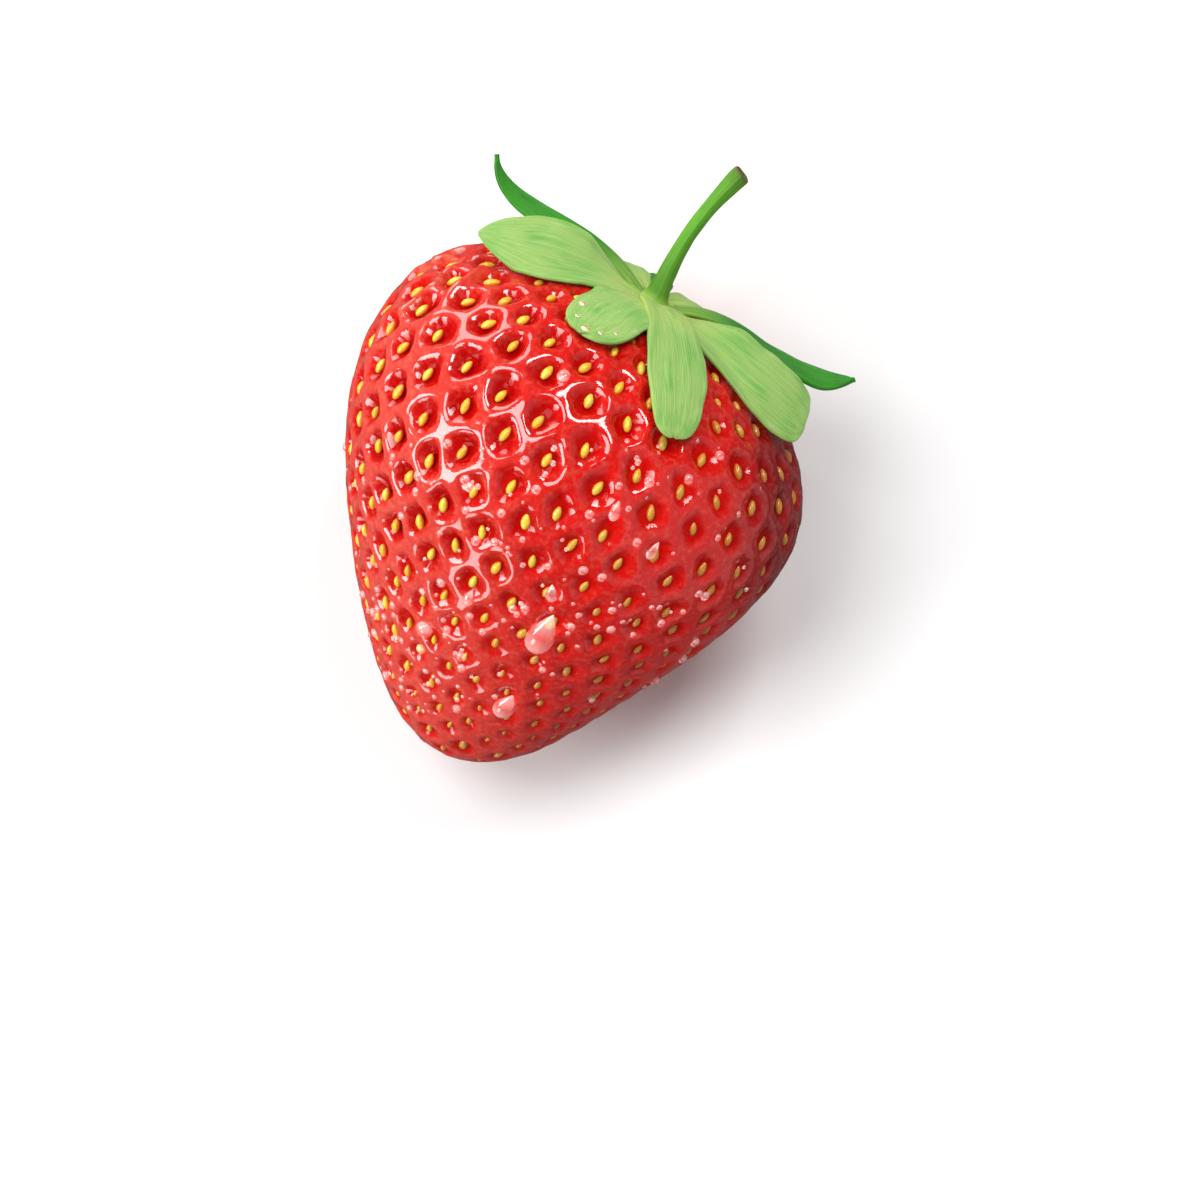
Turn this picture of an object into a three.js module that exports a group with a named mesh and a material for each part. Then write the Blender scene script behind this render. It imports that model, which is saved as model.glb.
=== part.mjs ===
// A picked garden strawberry with its calyx and a short cut stalk, lying on its side.
// Millimetres, +Z up, calyx towards +Y. The origin is on the surface that the fruit lies on,
// below the middle of the whole part.
//
// Every piece is laid out as the fruit hangs: the crown of the fruit at the origin, the stalk up
// +Z, the tip down -Z, and the side that ends up on top towards -Y. A group then lays it down.

import * as THREE from "three";
import { ConvexHull } from "three/addons/math/ConvexHull.js";

// Flesh
const BERRY_WIDTH = 42;
const BERRY_DEPTH = 38.5;
const BERRY_LENGTH = 46.7;
const FULLNESS = [0.907, 0.447, 0.06, -0.11]; // girth from tip to crown, a cubic in the level
const CROWN_TILT = 0.14; // how far one shoulder stands above the other, per millimetre of width
const TILT_FADE = 1.5; // how soon that tilt dies away towards the tip
const CROWN_DIMPLE = 0.9; // depth of the hollow that the stalk stands in
const DIMPLE_SPREAD = 0.012; // fall in level at which the hollow is a third as deep
const BELLY_ASIDE = -0.9; // how far the middle of the fruit bulges to one side
const TIP_ASIDE = -0.6;

// Lying down
const AXIS_RISE = 20; // degrees that the crown end of the axis points up

// The hanging origin, once laid down: so low that half a millimetre of flesh is pressed flat.
const CROWN_AT = new THREE.Vector3(1, 15.5, 23.85);

// Achenes, the yellow pips in their pits, in rings round the fruit. For each ring: how far down the
// fruit it is from the stalk, measured along the top, and how many pips it has.
const PIP_RINGS = [
  [5.4, 9], [8.2, 18], [11, 27], [14, 27], [17.4, 27], [20.7, 27], [24, 27], [26.9, 27], [29.7, 27],
  [32.4, 27], [35.1, 27], [37.9, 27], [40.6, 27], [43.4, 27], [46.1, 27], [48.9, 27], [51.6, 27],
  [54.2, 20], [56.7, 16], [59.1, 12], [61.4, 8], [63.6, 5], [66.1, 1],
];
const PIP_STRAY = 0.45; // how far a pip may be out of its ring's line
const PIP_ROOM = 3; // distance to the next pip below which pips and pits get smaller, towards the tip
const PIP_LENGTH = 1.4;
const PIP_WIDTH = 1.0;
const PIP_HEIGHT = 0.6;
const PIT_DEPTH = 0.7;
const PIT_SHARE = 0.43; // rim radius of a pit over the distance to the next pip
const BARE_CROWN = 4.2; // radius round the stalk with no pips
const PIP_SIDES = 4;
const RIM_SIDES = 6;

// Calyx and stalk
const BLADE_THICKNESS = 0.6;
const BLADE_GAP = 0.4; // clear air between a blade and what it springs from or lies on
const BLADE_LIFT = BLADE_GAP + BLADE_THICKNESS / 2;
const DISC_RADIUS = 2.2;
const BLADE_ROOT = DISC_RADIUS + 0.55;
const BLADE_STEPS = 9;
const BLADE_RIBS = 4;
const STALK_HEIGHT = 13.6;
const STALK_RADIUS = 0.75;
const STALK_BEND = 2.5; // how far the cut end stands to one side
const STALK_SIDES = 12;

const FLESH_RED = 0xc8101a;
const BLADE_GREEN = 0x8fc060;
const BRACT_GREEN = 0x3f9440;
const STALK_GREEN = 0x5aa032;

// ---------------------------------------------------------------- the skin of the fruit

// The smooth skin under a direction q, a unit vector: q.z is 1 at the crown and -1 at the tip.
function skin(q) {
  const c = q.z;
  const girth = FULLNESS[0] + c * (FULLNESS[1] + c * (FULLNESS[2] + c * FULLNESS[3]));
  const x = (BERRY_WIDTH / 2) * girth * q.x;
  const y = (BERRY_DEPTH / 2) * girth * q.y;
  const tilt = CROWN_TILT * x * Math.pow((1 + c) / 2, TILT_FADE);
  const aside = BELLY_ASIDE * (1 - c * c) + (TIP_ASIDE * (1 - c)) / 2;
  const dimple = CROWN_DIMPLE * Math.exp((c - 1) / DIMPLE_SPREAD);
  return new THREE.Vector3(x + aside, y, (-BERRY_LENGTH * (1 - c)) / 2 - tilt - dimple);
}

// The skin at q with its outward normal, and the ways down to the tip and across: on the unit
// sphere, on the skin, and in millimetres per radian.
function skinFrame(q) {
  const down = new THREE.Vector3(q.x * q.z, q.y * q.z, q.z * q.z - 1).normalize();
  const across = new THREE.Vector3().crossVectors(down, q).normalize();
  const step = 1e-4;
  const at = (way, by) => skin(q.clone().addScaledVector(way, by).normalize());
  const alongDown = at(down, step).sub(at(down, -step)).divideScalar(2 * step);
  const alongAcross = at(across, step).sub(at(across, -step)).divideScalar(2 * step);
  const normal = new THREE.Vector3().crossVectors(alongAcross, alongDown).normalize();
  if (normal.dot(q) < 0) normal.negate();
  return {
    q,
    point: skin(q),
    normal,
    down,
    across,
    downwards: alongDown.clone().normalize(),
    sideways: alongAcross.clone().normalize(),
    perDown: alongDown.length(),
    perAcross: alongAcross.length(),
  };
}

// The direction that lies so many millimetres down and across from a frame.
function beside(frame, down, across) {
  return frame.q
    .clone()
    .addScaledVector(frame.down, down / frame.perDown)
    .addScaledVector(frame.across, across / frame.perAcross)
    .normalize();
}

function direction(level, azimuth) {
  const r = Math.sqrt(Math.max(0, 1 - level * level));
  return new THREE.Vector3(r * Math.cos(azimuth), r * Math.sin(azimuth), level);
}

// ---------------------------------------------------------------- the fruit

// The pips stand in rings, each turned half a step from the last, and each pip is a little out of
// line.
function pipSites() {
  const slices = 600;
  const levels = [1];
  const reach = [0];
  let last = skin(direction(1, 1.5 * Math.PI));
  for (let i = 1; i <= slices; i++) {
    const level = 1 - (2 * i) / slices;
    const next = skin(direction(level, 1.5 * Math.PI));
    levels.push(level);
    reach.push(reach[i - 1] + next.distanceTo(last));
    last = next;
  }
  const levelAt = (far) => {
    const i = Math.max(1, reach.findIndex((walked, k) => walked >= far || k === slices));
    const part = Math.min(1, (far - reach[i - 1]) / (reach[i] - reach[i - 1]));
    return levels[i - 1] + part * (levels[i] - levels[i - 1]);
  };
  const sites = [];
  PIP_RINGS.forEach(([far, count], k) => {
    for (let i = 0; i < count; i++) {
      const level = levelAt(far + PIP_STRAY * Math.sin(12.9 * i + 78.2 * k));
      const place = i + (k % 2) / 2 - 0.05 + 0.08 * Math.sin(39.3 * i + 11.1 * k);
      sites.push(direction(level, (2 * Math.PI * place) / count));
    }
  });
  return sites;
}

// Plain points that carry the skin over the bare crown, in two rings round its middle.
function crownSites() {
  const crownGirth = FULLNESS.reduce((sum, term) => sum + term);
  const sites = [new THREE.Vector3(0, 0, 1)];
  for (const ring of [1, 2]) {
    const radius = (ring * BARE_CROWN) / 2.8;
    const level = Math.sqrt(1 - (radius / (crownGirth * (BERRY_WIDTH / 2))) ** 2);
    const count = 6 * ring;
    for (let i = 0; i < count; i++) {
      sites.push(direction(level, ((i + 0.5) * 2 * Math.PI) / count));
    }
  }
  return sites;
}

function nearest(frames) {
  return frames.map((a, i) => {
    let best = Infinity;
    frames.forEach((b, j) => {
      if (i !== j) best = Math.min(best, a.point.distanceTo(b.point));
    });
    return best;
  });
}

// Pushes flesh that would be below the surface back up to it, in the hanging frame.
function pressFlat(point, lay) {
  const placed = point.clone().applyMatrix4(lay);
  placed.z = Math.max(placed.z, 0);
  return placed.applyMatrix4(lay.clone().invert());
}

// One closed skin with a pip standing in every pit.
function berryGeometry(lay) {
  const directions = [];
  const points = [];
  const add = (q, height) => {
    const frame = skinFrame(q);
    directions.push(q);
    points.push(pressFlat(frame.point.addScaledVector(frame.normal, height), lay));
  };
  crownSites().forEach((q) => add(q, 0));
  const frames = pipSites().map(skinFrame);
  const spacing = nearest(frames);
  frames.forEach((frame, i) => {
    const size = Math.min(1, spacing[i] / PIP_ROOM);
    add(frame.q, (PIP_HEIGHT - PIT_DEPTH) * size);
    for (let k = 0; k < PIP_SIDES; k++) {
      const a = (k * 2 * Math.PI) / PIP_SIDES;
      const [down, across] = [(PIP_LENGTH / 2) * Math.cos(a), (PIP_WIDTH / 2) * Math.sin(a)];
      add(beside(frame, down * size, across * size), -PIT_DEPTH * size);
    }
    const rim = PIT_SHARE * spacing[i];
    for (let k = 0; k < RIM_SIDES; k++) {
      const a = ((k + 0.5) * 2 * Math.PI) / RIM_SIDES;
      add(beside(frame, rim * Math.cos(a), rim * Math.sin(a)), 0);
    }
  });
  return hullOf(directions, points);
}

// Every point has a direction on the unit sphere, and the convex hull of those directions says
// which points to join.
function hullOf(directions, points) {
  const order = new Map(directions.map((q, i) => [q, i]));
  const index = [];
  for (const face of new ConvexHull().setFromPoints(directions).faces) {
    let edge = face.edge;
    do {
      index.push(order.get(edge.head().point));
      edge = edge.next;
    } while (edge !== face.edge);
  }
  return new THREE.BufferGeometry().setFromPoints(points).setIndex(index);
}

// ---------------------------------------------------------------- sepals and bracts

// Half the width of a blade at t, from 0 at its root to 1 at its tip.
function bladeHalf(t, blade) {
  const rise = Math.sin((Math.PI / 2) * Math.min(1, t / blade.widest));
  const fall = Math.max(0, (t - blade.widest) / (1 - blade.widest));
  const swelling = blade.root + (blade.half - blade.root) * rise;
  return Math.max(0.3, swelling * Math.pow(Math.max(0, 1 - fall * fall), blade.taper));
}

// The direction whose skin lies a given distance out from the stalk, measured along the skin.
function directionAtReach(distance, azimuth) {
  const step = 0.004;
  let angle = 0;
  let walked = 0;
  let last = skin(direction(1, azimuth));
  while (walked < distance) {
    angle += step;
    const next = skin(direction(Math.cos(angle), azimuth));
    walked += next.distanceTo(last);
    last = next;
  }
  return direction(Math.cos(angle), azimuth);
}

// Moves a point out along the skin's normal until it clears the skin by a given distance.
function clearOfSkin(point, near, clearance) {
  let frame = skinFrame(near);
  for (let i = 0; i < 6; i++) {
    const off = point.clone().sub(frame.point);
    frame = skinFrame(beside(frame, off.dot(frame.downwards), off.dot(frame.sideways)));
  }
  const height = point.clone().sub(frame.point).dot(frame.normal);
  return point.addScaledVector(frame.normal, Math.max(0, clearance - height));
}

// The middle of a blade's thickness at t along it and v across it, from -1 to 1. The midline
// follows the skin outwards and lifts off it, and bank turns the blade about that line.
function bladePoint(t, v, blade) {
  const azimuth = THREE.MathUtils.degToRad(blade.azimuth + blade.sweep * t * t);
  const outward = new THREE.Vector3(Math.cos(azimuth), Math.sin(azimuth), 0);
  const midline = (s) => {
    const frame = skinFrame(directionAtReach(BLADE_ROOT + blade.length * s, azimuth));
    const lift = BLADE_LIFT + blade.rise * Math.pow(Math.max(0, s), blade.curl);
    return frame.point.addScaledVector(frame.normal, lift);
  };
  const point = midline(t);
  const along = midline(t + 0.01).sub(midline(t - 0.01)).normalize();
  const side = new THREE.Vector3().crossVectors(new THREE.Vector3(0, 0, 1), outward);
  side.addScaledVector(along, -along.dot(side)).normalize();
  side.applyAxisAngle(along, THREE.MathUtils.degToRad(blade.bank * Math.min(1, 3 * t)));
  const face = new THREE.Vector3().crossVectors(along, side);
  const half = bladeHalf(t, blade);
  point.addScaledVector(side, v * half).addScaledVector(face, -blade.cup * half * v * v);
  const near = directionAtReach(BLADE_ROOT + blade.length * t, azimuth);
  return clearOfSkin(point, near, BLADE_LIFT);
}

function bladeNormal(t, v, blade) {
  const along = bladePoint(t + 0.01, v, blade).sub(bladePoint(t - 0.01, v, blade));
  const side = bladePoint(t, v + 0.02, blade).sub(bladePoint(t, v - 0.02, blade));
  return along.cross(side).normalize();
}

// Both faces of a blade share one grid and one way of splitting it, joined round the edge. The
// stations crowd towards the rounded tip.
function bladeGeometry(blade) {
  const points = [];
  const index = [];
  const columns = BLADE_RIBS + 1;
  const face = (BLADE_STEPS + 1) * columns;
  for (const height of [BLADE_THICKNESS / 2, -BLADE_THICKNESS / 2]) {
    for (let i = 0; i <= BLADE_STEPS; i++) {
      for (let j = 0; j < columns; j++) {
        const t = Math.sin((i / BLADE_STEPS) * (Math.PI / 2));
        const v = (2 * j) / BLADE_RIBS - 1;
        points.push(bladePoint(t, v, blade).addScaledVector(bladeNormal(t, v, blade), height));
      }
    }
  }
  const upper = (i, j) => i * columns + j;
  const under = (i, j) => face + i * columns + j;
  const quad = (a, b, c, d) => index.push(a, b, c, a, c, d);
  for (let i = 0; i < BLADE_STEPS; i++) {
    for (let j = 0; j < BLADE_RIBS; j++) {
      quad(upper(i, j), upper(i + 1, j), upper(i + 1, j + 1), upper(i, j + 1));
      index.push(under(i, j), under(i + 1, j + 1), under(i + 1, j));
      index.push(under(i, j), under(i, j + 1), under(i + 1, j + 1));
    }
    quad(upper(i, 0), under(i, 0), under(i + 1, 0), upper(i + 1, 0));
    const j = BLADE_RIBS;
    quad(upper(i + 1, j), under(i + 1, j), under(i, j), upper(i, j));
  }
  for (let j = 0; j < BLADE_RIBS; j++) {
    const i = BLADE_STEPS;
    quad(upper(0, j + 1), under(0, j + 1), under(0, j), upper(0, j));
    quad(upper(i, j), under(i, j), under(i, j + 1), upper(i, j + 1));
  }
  return new THREE.BufferGeometry().setFromPoints(points).setIndex(index);
}

// Azimuth 0 is +X, and 270 is -Y, the side that ends up on top. Rise is how far the tip stands
// off the skin, and a high curl keeps that lift to the end of the blade.
const SEPAL = { half: 3, widest: 0.5, root: 0.6, taper: 0.5, cup: 0.1, bank: 0, curl: 2, sweep: 0 };
const BRACT = { half: 1.2, widest: 0.4, root: 0.4, taper: 1, cup: 0.1, bank: 0, curl: 3, sweep: 0 };
const BLADES = [
  { ...SEPAL, name: "sepal_left", azimuth: 204, length: 12.7, rise: 2, bank: -42, half: 3.8, curl: 1.6 },
  { ...SEPAL, name: "sepal_front", azimuth: 294.5, length: 14.2, rise: 0.3, half: 3, taper: 0.4 },
  { ...SEPAL, name: "sepal_right", azimuth: 353, length: 13.2, rise: 2.7, bank: 38, curl: 1.4, taper: 0.4 },
  { ...SEPAL, name: "sepal_back_right", azimuth: 61, length: 13.8, rise: 0.8, half: 2.6, taper: 0.8 },
  { ...SEPAL, name: "sepal_back_left", azimuth: 124, length: 13.8, rise: 0.8, half: 2.6, taper: 0.8 },
  { ...BRACT, name: "bract_front", azimuth: 250, length: 10.3, rise: 0.3, half: 2.7, widest: 0.6, taper: 0.4 },
  { ...BRACT, name: "bract_left", azimuth: 157, length: 13.8, rise: 7, bank: -30, curl: 4.5 },
  { ...BRACT, name: "bract_back", azimuth: 93, length: 10, rise: 1 },
  { ...BRACT, name: "bract_right", azimuth: 29, length: 14.8, rise: 5.6, bank: 10, sweep: -5 },
];

// ---------------------------------------------------------------- stalk

// The disc that the blades spring from, and the shaft that flares into it and bends over to the
// cut end, where it is a little swollen.
function stalkGeometry() {
  const foot = BLADE_GAP - 0.75 * CROWN_DIMPLE;
  const profile = [
    [0, foot],
    [DISC_RADIUS, foot],
    [DISC_RADIUS, foot + 0.75],
    [STALK_RADIUS * 2, foot + 1.2],
    [STALK_RADIUS * 1.45, foot + 1.9],
    [STALK_RADIUS * 1.15, foot + 3.4],
    [STALK_RADIUS, STALK_HEIGHT * 0.4],
    [STALK_RADIUS * 0.95, STALK_HEIGHT * 0.6],
    [STALK_RADIUS, STALK_HEIGHT * 0.8],
    [STALK_RADIUS * 1.15, STALK_HEIGHT * 0.97],
    [STALK_RADIUS * 1.15, STALK_HEIGHT],
    [0, STALK_HEIGHT + 0.15],
  ].map(([r, z]) => new THREE.Vector2(r, z));
  const geometry = new THREE.LatheGeometry(profile, STALK_SIDES).rotateX(Math.PI / 2);
  const position = geometry.attributes.position;
  for (let i = 0; i < position.count; i++) {
    const bent = bendStalk(new THREE.Vector3().fromBufferAttribute(position, i));
    position.setXYZ(i, bent.x, bent.y, bent.z);
  }
  return geometry;
}

// The foot lies along the tilted crown, and the shaft leans further over the higher it gets.
function bendStalk(p) {
  const t = Math.max(0, p.z - 2) / (STALK_HEIGHT - 2);
  const lean = CROWN_TILT + (2 * STALK_BEND * t) / (STALK_HEIGHT - 2);
  return new THREE.Vector3(p.x + STALK_BEND * t * t, p.y, p.z - lean * p.x);
}

// ---------------------------------------------------------------- the part

function piece(name, geometry, color, roughness) {
  const mesh = new THREE.Mesh(
    geometry,
    new THREE.MeshStandardMaterial({ color, roughness, metalness: 0 }),
  );
  mesh.name = name;
  return mesh;
}

const strawberry = new THREE.Group();
strawberry.rotation.x = THREE.MathUtils.degToRad(AXIS_RISE - 90);
strawberry.position.copy(CROWN_AT);
strawberry.updateMatrix();
strawberry.add(piece("berry", berryGeometry(strawberry.matrix), FLESH_RED, 0.3));
strawberry.add(piece("stalk", stalkGeometry(), STALK_GREEN, 0.6));
for (const blade of BLADES) {
  const color = blade.name.startsWith("sepal") ? BLADE_GREEN : BRACT_GREEN;
  strawberry.add(piece(blade.name, bladeGeometry(blade), color, 0.6));
}

export default strawberry;
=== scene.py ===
import math
import random

import bpy
import numpy as np
from mathutils import Matrix, Vector, noise
from mathutils.bvhtree import BVHTree


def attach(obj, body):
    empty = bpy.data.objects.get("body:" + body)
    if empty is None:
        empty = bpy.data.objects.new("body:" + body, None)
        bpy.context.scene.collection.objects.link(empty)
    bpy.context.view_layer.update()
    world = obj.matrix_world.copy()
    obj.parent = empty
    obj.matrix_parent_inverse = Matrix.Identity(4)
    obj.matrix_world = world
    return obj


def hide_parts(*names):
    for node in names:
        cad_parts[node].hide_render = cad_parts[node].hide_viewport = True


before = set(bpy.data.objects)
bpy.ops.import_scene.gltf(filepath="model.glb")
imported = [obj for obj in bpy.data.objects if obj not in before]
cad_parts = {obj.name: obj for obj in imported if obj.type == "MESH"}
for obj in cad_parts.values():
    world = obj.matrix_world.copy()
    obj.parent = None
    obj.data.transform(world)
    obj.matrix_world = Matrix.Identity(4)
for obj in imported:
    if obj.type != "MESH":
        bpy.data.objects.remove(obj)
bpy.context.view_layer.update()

# ---------------------------------------------------------------- flesh
# The swollen red body of the fruit, wet and glossy. It bulges up between its pips, so that each
# pip sits at the bottom of a pit, and it is pressed flat in the one small spot it lies on.

MM = 0.001
BERRY_WIDTH = 42
BERRY_DEPTH = 38.5
BERRY_LENGTH = 46.7
FULLNESS = (0.907, 0.447, 0.06, -0.11)  # girth from tip to crown, a cubic in the level
CROWN_TILT = 0.14
TILT_FADE = 1.5
CROWN_DIMPLE = 0.9
DIMPLE_SPREAD = 0.012
BELLY_ASIDE = -0.9
TIP_ASIDE = -0.6
CROWN_AT = Vector((1, 15.5, 23.85))
LAY_DOWN = Matrix.Translation(CROWN_AT) @ Matrix.Rotation(math.radians(20 - 90), 4, "X")

PIP_RINGS = (  # how far down the fruit from the stalk a ring of pips is, and how many it has
    (5.4, 9), (8.2, 18), (11, 27), (14, 27), (17.4, 27), (20.7, 27), (24, 27), (26.9, 27), (29.7, 27),
    (32.4, 27), (35.1, 27), (37.9, 27), (40.6, 27), (43.4, 27), (46.1, 27), (48.9, 27), (51.6, 27),
    (54.2, 20), (56.7, 16), (59.1, 12), (61.4, 8), (63.6, 5), (66.1, 1),
)
PIP_COUNT = sum(count for _, count in PIP_RINGS)
PIP_STRAY = 0.45  # how far a pip may be out of its ring's line
PIP_STRAY_WAVE = (12.9, 78.2)  # how that goes on from pip to pip and from ring to ring
PIP_SWAY = 0.08  # how far a pip may be from its even place along the ring, in steps
PIP_SWAY_WAVE = (39.3, 11.1)
RING_TURN = 0.05  # how far every ring is turned back, in steps

PIT_DEPTH = 0.95
PIT_DEPTHS = (0.85, 1.12)  # how the depth differs from pit to pit
PLUMP_SIDE = math.radians(320)  # the side that has swollen most, where the pits are shallower
PLUMP_LEVEL = -0.3
PLUMP_REACH = (-0.2, 0.9)
PLUMPNESS = 0.55
PIT_STRETCH = 1.15  # how much longer than wide a pit is
PIT_ABOVE_PIP = 0.22  # how far the middle of a pit is from its pip, towards the crown
PIT_WALL = (0.15, 1.15)  # where a pit's wall starts and ends, in from the middle of the ridge round it
RIDGE_ROUNDING = 5  # per millimetre; lower gives rounder pits and wider crossings
RAGGEDNESS = (0.16, 1.1)  # of the pits' edges: how far, and the size of its waves
SKIN_WAVES = (0.1, 7)
RIDGE_LUMPS = (0.07, 1.2)
FOLD_HEIGHT = 0.48
FOLD_WIDTH = 0.55
FOLD_FADE = 0.35  # the share of a fold's length over which either end dies away
FOLD_SWAY = (0.15, 1.7)  # how far a fold wanders from its line, and how often
DIP_DEPTH = 0.45  # of the dip beside a fold, as a share of the fold's height
DIP_AWAY = 1.2
DIP_WIDTH = 0.6
FOLDS = (  # creases on the shoulder, each through points given by azimuth in degrees and level
    ((188, 0.46), (202, 0.57), (200, 0.70), (180, 0.80)),
    ((172, 0.58), (182, 0.71), (188, 0.86)),
    ((210, 0.68), (203, 0.78), (190, 0.86)),
)
SHOULDER = (168, 0.68)  # where the shoulder bulges out most
SHOULDER_BULGE = 0.5
SHOULDER_SPREAD = 5
FACE_CUTS = 62  # in each half of each of the cube's faces
POINTS_AT_ONCE = 4096

# The flesh's own red, painted darker towards the bottom of each pit as painted shade.
SKIN_REDS_AND_PIT_SHADE = (  # from the bottom of a pit to the top of a ridge
    (0.0, (0.36, 0.001, 0.001)),
    (0.3, (0.42, 0.001, 0.001)),
    (0.65, (0.50, 0.001, 0.001)),
    (0.88, (0.55, 0.002, 0.002)),
    (1.0, (0.59, 0.008, 0.006)),
)
# Painted light and painted shade: a brighter red from the middle rightwards, and a dark red at the far
# right edge.
PAINTED_LIGHT_RED = (0.78, 0.002, 0.001)
PAINTED_SHADE_RED = (0.18, 0.003, 0.006)
TIP_RED = (0.64, 0.016, 0.008)
PATCH_RED = (0.68, 0.012, 0.006)
# Pale pink flecks: partly the skin's own mottling, partly a painted sheen, stronger on the ridges and on
# the lit left side.
FLECK_AND_SHEEN_PINK = (0.86, 0.23, 0.14)
# Painted sheen: pink on the ridge tops towards the lit left side.
RIDGE_SHEEN_PINK = (0.66, 0.12, 0.085)
# Painted highlight: pale pink along the crests of the shoulder's folds.
FOLD_HIGHLIGHT_PINK = (0.80, 0.26, 0.15)


def unit(v):
    return v / np.maximum(np.linalg.norm(v, axis=1, keepdims=True), 1e-9)


def dot(a, b):
    return np.sum(a * b, axis=1)


def direction(level, azimuth):
    """Unit vectors: level 1 is the crown and -1 the tip."""
    r = np.sqrt(np.maximum(0, 1 - level * level))
    return np.stack([r * np.cos(azimuth), r * np.sin(azimuth), level], axis=1)


def skin(q):
    """The smooth skin of the hanging fruit, in millimetres, under each unit vector."""
    c = q[:, 2]
    girth = FULLNESS[0] + c * (FULLNESS[1] + c * (FULLNESS[2] + c * FULLNESS[3]))
    x = BERRY_WIDTH / 2 * girth * q[:, 0]
    y = BERRY_DEPTH / 2 * girth * q[:, 1]
    tilt = CROWN_TILT * x * np.maximum(0, (1 + c) / 2) ** TILT_FADE
    aside = BELLY_ASIDE * (1 - c * c) + TIP_ASIDE * (1 - c) / 2
    dimple = CROWN_DIMPLE * np.exp((c - 1) / DIMPLE_SPREAD)
    return np.stack([x + aside, y, -BERRY_LENGTH * (1 - c) / 2 - tilt - dimple], axis=1)


def skin_frame(q):
    """The skin's points and normals, with the ways towards the tip and across."""
    down = np.stack([q[:, 0] * q[:, 2], q[:, 1] * q[:, 2], q[:, 2] ** 2 - 1], axis=1)
    down[np.linalg.norm(down, axis=1) < 1e-6] = (1, 0, 0)
    down = unit(down)
    across = unit(np.cross(down, q))
    step = 1e-4
    along_down, along_across = (
        (skin(unit(q + way * step)) - skin(unit(q - way * step))) / (2 * step)
        for way in (down, across)
    )
    normal = unit(np.cross(along_across, along_down))
    normal *= np.sign(dot(normal, q))[:, None]
    return {
        "q": q,
        "point": skin(q),
        "normal": normal,
        "down": down,
        "across": across,
        "along_down": along_down,
        "along_across": along_across,
    }


def beside(at, down, across):
    """The directions that lie so many millimetres down and across from a frame."""
    per_down = np.linalg.norm(at["along_down"], axis=1)
    per_across = np.linalg.norm(at["along_across"], axis=1)
    down, across = (down / per_down)[:, None], (across / per_across)[:, None]
    return unit(at["q"] + at["down"] * down + at["across"] * across)


def pip_sites():
    """Rings of pips, each turned half a step from the last, with every pip a little out of line."""
    levels = np.linspace(1, -1, 601)
    front = skin(direction(levels, np.full(len(levels), 1.5 * math.pi)))
    down = np.concatenate([[0], np.cumsum(np.linalg.norm(np.diff(front, axis=0), axis=1))])
    level, azimuth = [], []
    for k, (reach, count) in enumerate(PIP_RINGS):
        for i in range(count):
            reached = reach + PIP_STRAY * math.sin(PIP_STRAY_WAVE[0] * i + PIP_STRAY_WAVE[1] * k)
            level.append(np.interp(reached, down, levels))
            sway = PIP_SWAY * math.sin(PIP_SWAY_WAVE[0] * i + PIP_SWAY_WAVE[1] * k)
            place = i + (k % 2) / 2 - RING_TURN + sway
            azimuth.append(2 * math.pi * place / count)
    return direction(np.array(level), np.array(azimuth))


def smoothstep(low, high, x):
    t = np.clip((x - low) / (high - low), 0, 1)
    return t * t * (3 - 2 * t)


def noise_at(points, size, seed):
    """Smooth noise, about -1 to 1, with features of a size in the points' own unit."""
    shift = Vector((seed * 7.3, seed * 3.1, seed * 5.7))
    return np.array([noise.noise(Vector(p) / size + shift) for p in points])


def pit_relief(points, sites, lengthways, depths, raggedness):
    """How far the flesh is from its smooth skin, and how high up, 0 in a pit and 1 on a ridge."""
    sunk = np.empty(len(points))
    depth = np.empty(len(points))
    for start in range(0, len(points), POINTS_AT_ONCE):
        some = slice(start, start + POINTS_AT_ONCE)
        off = points[some, None] - sites[None]
        along = np.einsum("ijk,jk->ij", off, lengthways)
        apart = np.sqrt(np.sum(off * off, axis=2) - (1 - PIT_STRETCH**-2) * along**2)
        depth[some] = depths[apart.argmin(axis=1)]
        near = np.sort(np.partition(apart, 4, axis=1)[:, :5], axis=1)
        to_ridge = (near[:, 1:] - near[:, :1]) / 2
        to_ridge = -np.log(np.exp(-RIDGE_ROUNDING * to_ridge).sum(axis=1)) / RIDGE_ROUNDING
        sunk[some] = smoothstep(*PIT_WALL, to_ridge + raggedness[some])
    return -depth * sunk, 1 - sunk


def fold_relief(points):
    """The shoulder's bulge, and narrow raised folds of skin on it with a dip on either side."""
    middle = skin(direction(np.array([SHOULDER[1]]), np.radians([SHOULDER[0]])))
    apart = np.linalg.norm(points - middle, axis=1)
    relief = SHOULDER_BULGE * np.exp(-((apart / SHOULDER_SPREAD) ** 2))
    for fold in FOLDS:
        turns, levels = np.array(fold).T
        corners = skin(direction(levels, np.radians(turns)))
        off = np.full(len(points), np.inf)
        along = np.zeros(len(points))
        for i, (a, b) in enumerate(zip(corners[:-1], corners[1:])):
            run = np.clip((points - a) @ (b - a) / ((b - a) @ (b - a)), 0, 1)
            apart = np.linalg.norm(points - a - run[:, None] * (b - a), axis=1)
            along = np.where(apart < off, (i + run) / (len(fold) - 1), along)
            off = np.minimum(off, apart)
        off += FOLD_SWAY[0] * np.sin(points[:, 2] * FOLD_SWAY[1])
        height = FOLD_HEIGHT * smoothstep(0, FOLD_FADE, along) * smoothstep(1, 1 - FOLD_FADE, along)
        fold_shape = np.exp(-((off / FOLD_WIDTH) ** 2))
        dip_shape = np.exp(-(((off - DIP_AWAY) / DIP_WIDTH) ** 2))
        relief += height * (fold_shape - DIP_DEPTH * dip_shape)
    return relief


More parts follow.
